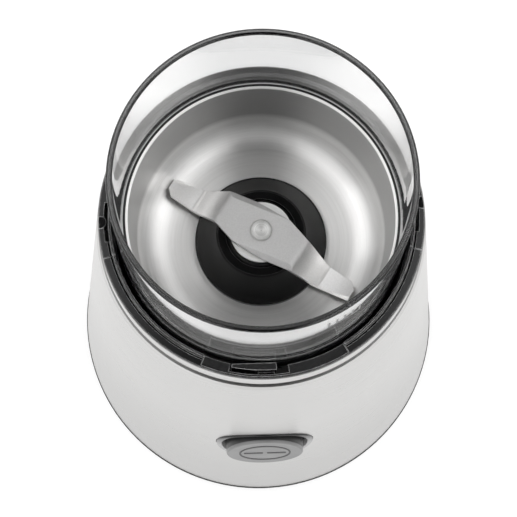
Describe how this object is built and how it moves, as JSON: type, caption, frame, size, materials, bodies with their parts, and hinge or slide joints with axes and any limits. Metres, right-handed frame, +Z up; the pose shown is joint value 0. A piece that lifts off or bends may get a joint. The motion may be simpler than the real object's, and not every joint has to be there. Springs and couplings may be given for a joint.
{
  "type": "electric spice grinder",
  "caption": "Electric spice grinder: conical steel motor base with a side button, lift-out bowl with a clear collar and a spinning blade.",
  "frame": {"origin": "centre of the footprint on the surface the feet stand on", "axes": "+Z up along the blade shaft, -Y out through the run button, +Y out through the cord inlet"},
  "size_m": [0.103, 0.103, 0.165],
  "materials": {
    "brushed_steel": "stainless brushed round the body",
    "cup_steel": "spun stainless with fine circular lines",
    "blade_steel": "ground stainless, brushed along the blade",
    "clear_plastic": "clear, polished",
    "black_rubber": "matt black rubber",
    "black_plastic": "fine satin black",
    "ring_plastic": "semi-gloss black",
    "switch_plastic": "satin dark grey",
    "button_grey": "satin grey",
    "coupling_plastic": "natural nylon",
    "machined_steel": "zinc plated",
    "laminated_iron": "stacked laminations",
    "copper": "enamelled copper",
    "bronze": "sintered bronze",
    "carbon": "pressed carbon"
  },
  "bodies": {
    "base": {"base_cover": "black_plastic", "rubber_feet": "black_rubber", "base_screws": "machined_steel", "steel_shell": "brushed_steel", "neck_band": "brushed_steel", "bowl_well": "black_plastic", "lock_ring_rear": "ring_plastic", "lock_ring_front": "ring_plastic", "upper_motor_bearing": "bronze", "lower_motor_bearing": "bronze", "motor_upper_bracket": "machined_steel", "motor_lower_bracket": "machined_steel", "stator_core": "laminated_iron", "field_coils": "copper", "brush_holders": "black_plastic", "carbon_brushes": "carbon", "motor_mounts": "black_rubber", "motor_screws": "machined_steel", "button_bezel": "button_grey", "switch_bracket": "black_plastic", "run_switch": "switch_plastic", "interlock_switch": "switch_plastic", "interlock_bracket": "black_plastic", "cord_inlet": "black_rubber", "suppression_capacitor": "switch_plastic", "button_spring": "machined_steel", "interlock_spring": "machined_steel"},
    "rotor": {"motor_shaft": "machined_steel", "armature_core": "laminated_iron", "armature_windings": "copper", "commutator": "copper", "cooling_fan": "coupling_plastic", "drive_dog": "coupling_plastic"},
    "bowl": {"clear_collar": "clear_plastic", "steel_cup": "cup_steel", "cup_seal": "black_rubber", "hub_boss": "black_plastic", "bowl_base": "black_plastic", "bowl_screws": "machined_steel", "bowl_bush": "bronze", "shaft_seal": "black_rubber"},
    "blade": {"blade": "blade_steel", "blade_shaft": "blade_steel", "hub_disc": "blade_steel", "drive_socket": "coupling_plastic"},
    "button": {"button_cap": "button_grey", "switch_plunger": "switch_plastic"},
    "interlock": {"interlock_key": "ring_plastic"}
  },
  "joints": [
    {"name": "motor_spin", "type": "hinge", "parent": "base", "child": "rotor", "pos_m": [0, 0, 0.044], "axis": [0, 0, 1], "continuous": true},
    {"name": "bowl_lift", "type": "slide", "parent": "base", "child": "bowl", "axis": [0, 0, 1], "range_m": [0, 0.045]},
    {"name": "blade_spin", "type": "hinge", "parent": "bowl", "child": "blade", "pos_m": [0, 0, 0.1], "axis": [0, 0, 1], "continuous": true},
    {"name": "button_press", "type": "slide", "parent": "base", "child": "button", "axis": [0, 0.9936, -0.1132], "range_m": [0, 0.0025], "stiffness_N_per_m": 500, "springref_m": -0.0015, "deforming": ["button_spring"]},
    {"name": "interlock_press", "type": "slide", "parent": "base", "child": "interlock", "axis": [0, 0, -1], "range_m": [0, 0.002], "stiffness_N_per_m": 300, "springref_m": -0.001, "deforming": ["interlock_spring"]}
  ],
  "couplings": [
    {"joint": "blade_spin", "follows": "motor_spin", "ratio": 1}
  ]
}
